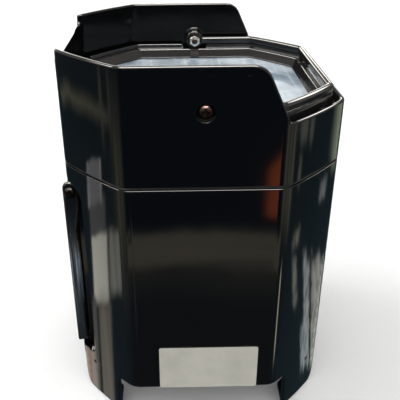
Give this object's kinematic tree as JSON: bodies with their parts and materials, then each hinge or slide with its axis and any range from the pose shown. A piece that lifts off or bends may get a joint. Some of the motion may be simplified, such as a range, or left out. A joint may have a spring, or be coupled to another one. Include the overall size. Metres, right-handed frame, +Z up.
{
  "type": "battery LED uplight",
  "caption": "Battery LED uplight: square floor-standing casing with cut corners, a window facing up, a folding carry handle and a kickstand.",
  "frame": {"origin": "centre of the footprint, on the surface the lamp stands on", "axes": "+Z up along the light, -Y the front with the rating label, -X the side with the kickstand"},
  "size_m": [0.1647, 0.1626, 0.2398],
  "materials": {
    "casing": "piano-gloss black moulded ABS, polished, with fine dust and hairline wipe marks",
    "bezel": "gloss black moulded ABS",
    "handle": "gloss black moulded bar",
    "kickstand": "gloss black stoved paint on steel",
    "window_glass": "flat light-diffusing window, cloudy pale blue-grey",
    "display_glass": "smoked clear window",
    "black_steel": "black oxide steel",
    "zinc_steel": "zinc plated steel",
    "nylon": "black glass-filled nylon",
    "base_panel": "fine-grain black moulded panel",
    "rubber": "black rubber",
    "label": "blank pale grey printed film with a satin face",
    "aluminium": "extruded aluminium",
    "circuit_board": "green solder mask on glass-epoxy board",
    "white_board": "white solder mask on aluminium board",
    "emitter": "silicone dome over phosphor",
    "clear_lens": "clear moulded acrylic",
    "battery_wrap": "blue shrink film",
    "display_module": "black display frame"
  },
  "bodies": {
    "base": {"battery_bracket": "zinc_steel", "battery_pack": "battery_wrap", "bezel_frame": "bezel", "bezel_screw_back_left": "black_steel", "bezel_screw_back_right": "black_steel", "bezel_screw_front_left": "black_steel", "bezel_screw_front_right": "black_steel", "bottom_panel": "base_panel", "control_board": "circuit_board", "display_module": "display_module", "display_window": "display_glass", "driver_board": "circuit_board", "foot_pad_back_left": "rubber", "foot_pad_back_right": "rubber", "foot_pad_front_left": "rubber", "foot_pad_front_right": "rubber", "handle_nut_back": "zinc_steel", "handle_nut_front": "zinc_steel", "handle_screw_back": "black_steel", "handle_screw_front": "black_steel", "handle_washer_back": "nylon", "handle_washer_front": "nylon", "heat_sink": "aluminium", "kickstand_screw_back": "black_steel", "kickstand_screw_front": "black_steel", "kickstand_washer_back": "nylon", "kickstand_washer_front": "nylon", "led_board": "white_board", "led_emitter_1": "emitter", "led_emitter_2": "emitter", "led_emitter_3": "emitter", "led_emitter_4": "emitter", "led_emitter_5": "emitter", "led_emitter_6": "emitter", "lens_array": "clear_lens", "lower_shell": "casing", "panel_screw_1": "black_steel", "panel_screw_2": "black_steel", "panel_screw_3": "black_steel", "panel_screw_4": "black_steel", "power_inlet": "nylon", "rating_label": "label", "seam_gasket": "rubber", "switch_housing": "nylon", "upper_shell": "casing", "vent_plug": "nylon", "window_clip_back": "black_steel", "window_clip_front": "black_steel", "window_gasket": "rubber", "window_glass": "window_glass"},
    "handle": {"carry_handle": "handle"},
    "kickstand": {"kickstand_bail": "kickstand"},
    "button_1": {"menu_button_1": "rubber"},
    "button_2": {"menu_button_2": "rubber"},
    "button_3": {"menu_button_3": "rubber"},
    "button_4": {"menu_button_4": "rubber"},
    "rocker": {"switch_rocker": "rubber"}
  },
  "joints": [
    {"name": "handle_swing", "type": "hinge", "parent": "base", "child": "handle", "pos_m": [0, 0, 0.2155], "axis": [0, -1, 0], "range_deg": [0, 180]},
    {"name": "kickstand_swing", "type": "hinge", "parent": "base", "child": "kickstand", "pos_m": [-0.079, 0, 0.153], "axis": [0, 1, 0], "range_deg": [0, 50]},
    {"name": "button_1_press", "type": "slide", "parent": "base", "child": "button_1", "axis": [0, 0, 1], "range_m": [0, 0.0008], "stiffness_N_per_m": 400},
    {"name": "button_2_press", "type": "slide", "parent": "base", "child": "button_2", "axis": [0, 0, 1], "range_m": [0, 0.0008], "stiffness_N_per_m": 400},
    {"name": "button_3_press", "type": "slide", "parent": "base", "child": "button_3", "axis": [0, 0, 1], "range_m": [0, 0.0008], "stiffness_N_per_m": 400},
    {"name": "button_4_press", "type": "slide", "parent": "base", "child": "button_4", "axis": [0, 0, 1], "range_m": [0, 0.0008], "stiffness_N_per_m": 400},
    {"name": "rocker_tilt", "type": "hinge", "parent": "base", "child": "rocker", "pos_m": [0.026, 0.038, 0.034], "axis": [0, -1, 0], "range_deg": [0, 18]}
  ]
}
